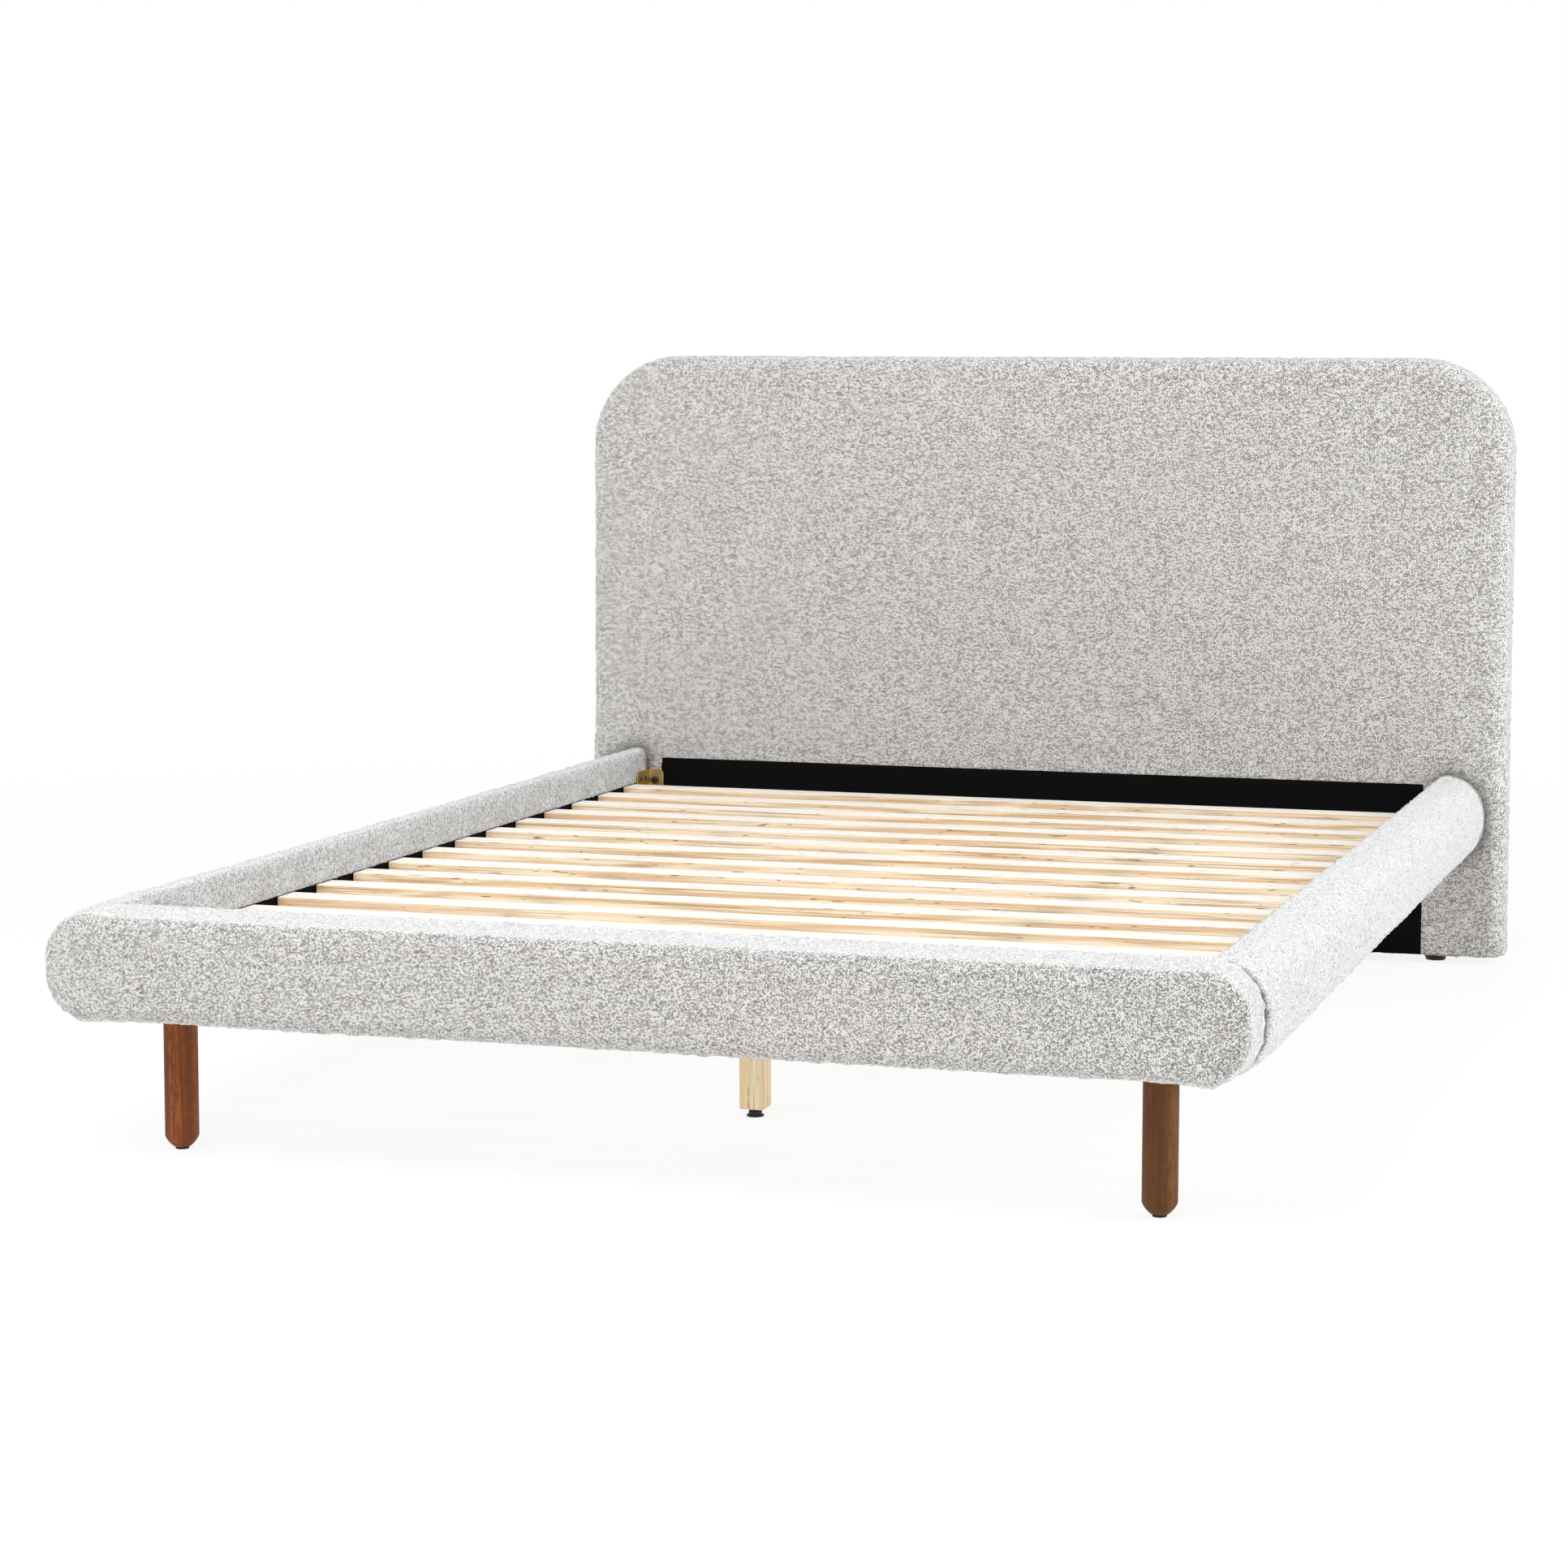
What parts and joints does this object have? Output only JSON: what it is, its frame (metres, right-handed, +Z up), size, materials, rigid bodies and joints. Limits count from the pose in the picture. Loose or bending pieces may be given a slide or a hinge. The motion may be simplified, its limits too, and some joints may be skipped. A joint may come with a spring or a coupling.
{
  "type": "upholstered headboard bed",
  "caption": "Double bed with a tall rounded boucle headboard, half-round padded rails, round walnut-stained legs and a lift-out deck of pine slats.",
  "frame": {"origin": "on the floor, at the middle of the bed's outline", "axes": "+Z up, +Y from the foot rail to the headboard, +X to the right as seen from the foot"},
  "size_m": [1.66, 2.202, 1.036],
  "materials": {
    "plywood": "raw plywood, hidden inside",
    "frame_wood": "raw sawn softwood, hidden inside",
    "foam": "soft open-cell foam, hidden under the cover",
    "boucle": "off-white boucle with fine grey flecks, matte",
    "lining": "black non-woven lining, matte",
    "pine": "planed knotty pine, unfinished",
    "walnut_stain": "walnut-brown stained hardwood, satin lacquer",
    "black_plastic": "black moulded plastic",
    "yellow_zinc": "yellow zinc plated steel",
    "dark_steel": "dark bronze plated steel",
    "zinc_steel": "bright zinc plated steel",
    "felt": "dark felt",
    "webbing": "black woven polypropylene webbing"
  },
  "bodies": {
    "bed": {"headboard_panel": "plywood", "headboard_fixing_board": "plywood", "side_rail_left_board": "plywood", "side_rail_right_board": "plywood", "foot_rail_board": "plywood", "headboard_stile_left": "frame_wood", "headboard_stile_right": "frame_wood", "headboard_top_rail": "frame_wood", "headboard_foam": "foam", "side_rail_left_foam": "foam", "side_rail_right_foam": "foam", "foot_rail_foam": "foam", "headboard_cover": "boucle", "headboard_back_cover": "boucle", "side_rail_left_cover": "boucle", "side_rail_right_cover": "boucle", "foot_rail_cover": "boucle", "headboard_lining": "lining", "side_rail_left_lining": "lining", "side_rail_right_lining": "lining", "foot_rail_lining": "lining", "cleat_left": "pine", "cleat_right": "pine", "corner_block_left": "pine", "corner_block_right": "pine", "beam": "pine", "centre_leg_1": "pine", "centre_leg_2": "pine", "centre_leg_3": "pine", "front_leg_left": "walnut_stain", "front_leg_right": "walnut_stain", "glide_left": "black_plastic", "glide_right": "black_plastic", "bracket_left": "yellow_zinc", "bracket_right": "yellow_zinc", "cleat_screws": "yellow_zinc", "bracket_screws": "dark_steel", "frame_bolts": "dark_steel", "beam_brackets": "zinc_steel", "hanger_bolts": "zinc_steel", "leg_pads": "felt"},
    "slat_deck": {"slat_01": "pine", "slat_02": "pine", "slat_03": "pine", "slat_04": "pine", "slat_05": "pine", "slat_06": "pine", "slat_07": "pine", "slat_08": "pine", "slat_09": "pine", "slat_10": "pine", "slat_11": "pine", "slat_12": "pine", "slat_13": "pine", "slat_14": "pine", "slat_15": "pine", "slat_tapes": "webbing"},
    "leveller_1": {"leveller_1": "black_plastic"},
    "leveller_2": {"leveller_2": "black_plastic"},
    "leveller_3": {"leveller_3": "black_plastic"}
  },
  "joints": [
    {"name": "deck_lift", "type": "slide", "parent": "bed", "child": "slat_deck", "axis": [0, 0, 1], "range_m": [0, 0.15]},
    {"name": "leveller_1_screw", "type": "slide", "parent": "bed", "child": "leveller_1", "axis": [0, 0, 1], "range_m": [0, 0.0035]},
    {"name": "leveller_2_screw", "type": "slide", "parent": "bed", "child": "leveller_2", "axis": [0, 0, 1], "range_m": [0, 0.0035]},
    {"name": "leveller_3_screw", "type": "slide", "parent": "bed", "child": "leveller_3", "axis": [0, 0, 1], "range_m": [0, 0.0035]}
  ]
}
